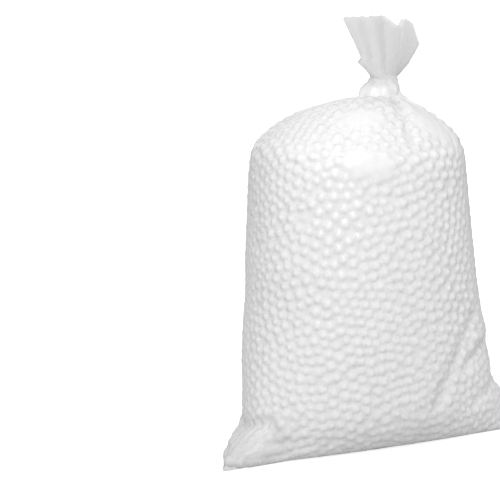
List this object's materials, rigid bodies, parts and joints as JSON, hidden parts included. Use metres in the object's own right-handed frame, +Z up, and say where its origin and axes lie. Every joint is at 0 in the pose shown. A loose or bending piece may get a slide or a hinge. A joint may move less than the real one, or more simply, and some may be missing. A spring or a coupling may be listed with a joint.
{
  "type": "bag of polystyrene beads",
  "caption": "Clear film bag of white foam beads, sealed flat along its bottom edge, gathered and knotted at the top, with a flared tail of film.",
  "frame": {"origin": "middle of the bag's box, on the surface that it stands on", "axes": "+X along the bottom seal to the right as seen from the front, +Y to the back, +Z up towards the knot"},
  "size_m": [0.206, 0.118, 0.261],
  "materials": {
    "clear_film": "clear glossy polyethylene film",
    "foam_beads": "white expanded polystyrene, satin skin"
  },
  "bodies": {
    "root": {"film_bag": "clear_film", "bead_fill": "foam_beads"}
  },
  "joints": []
}
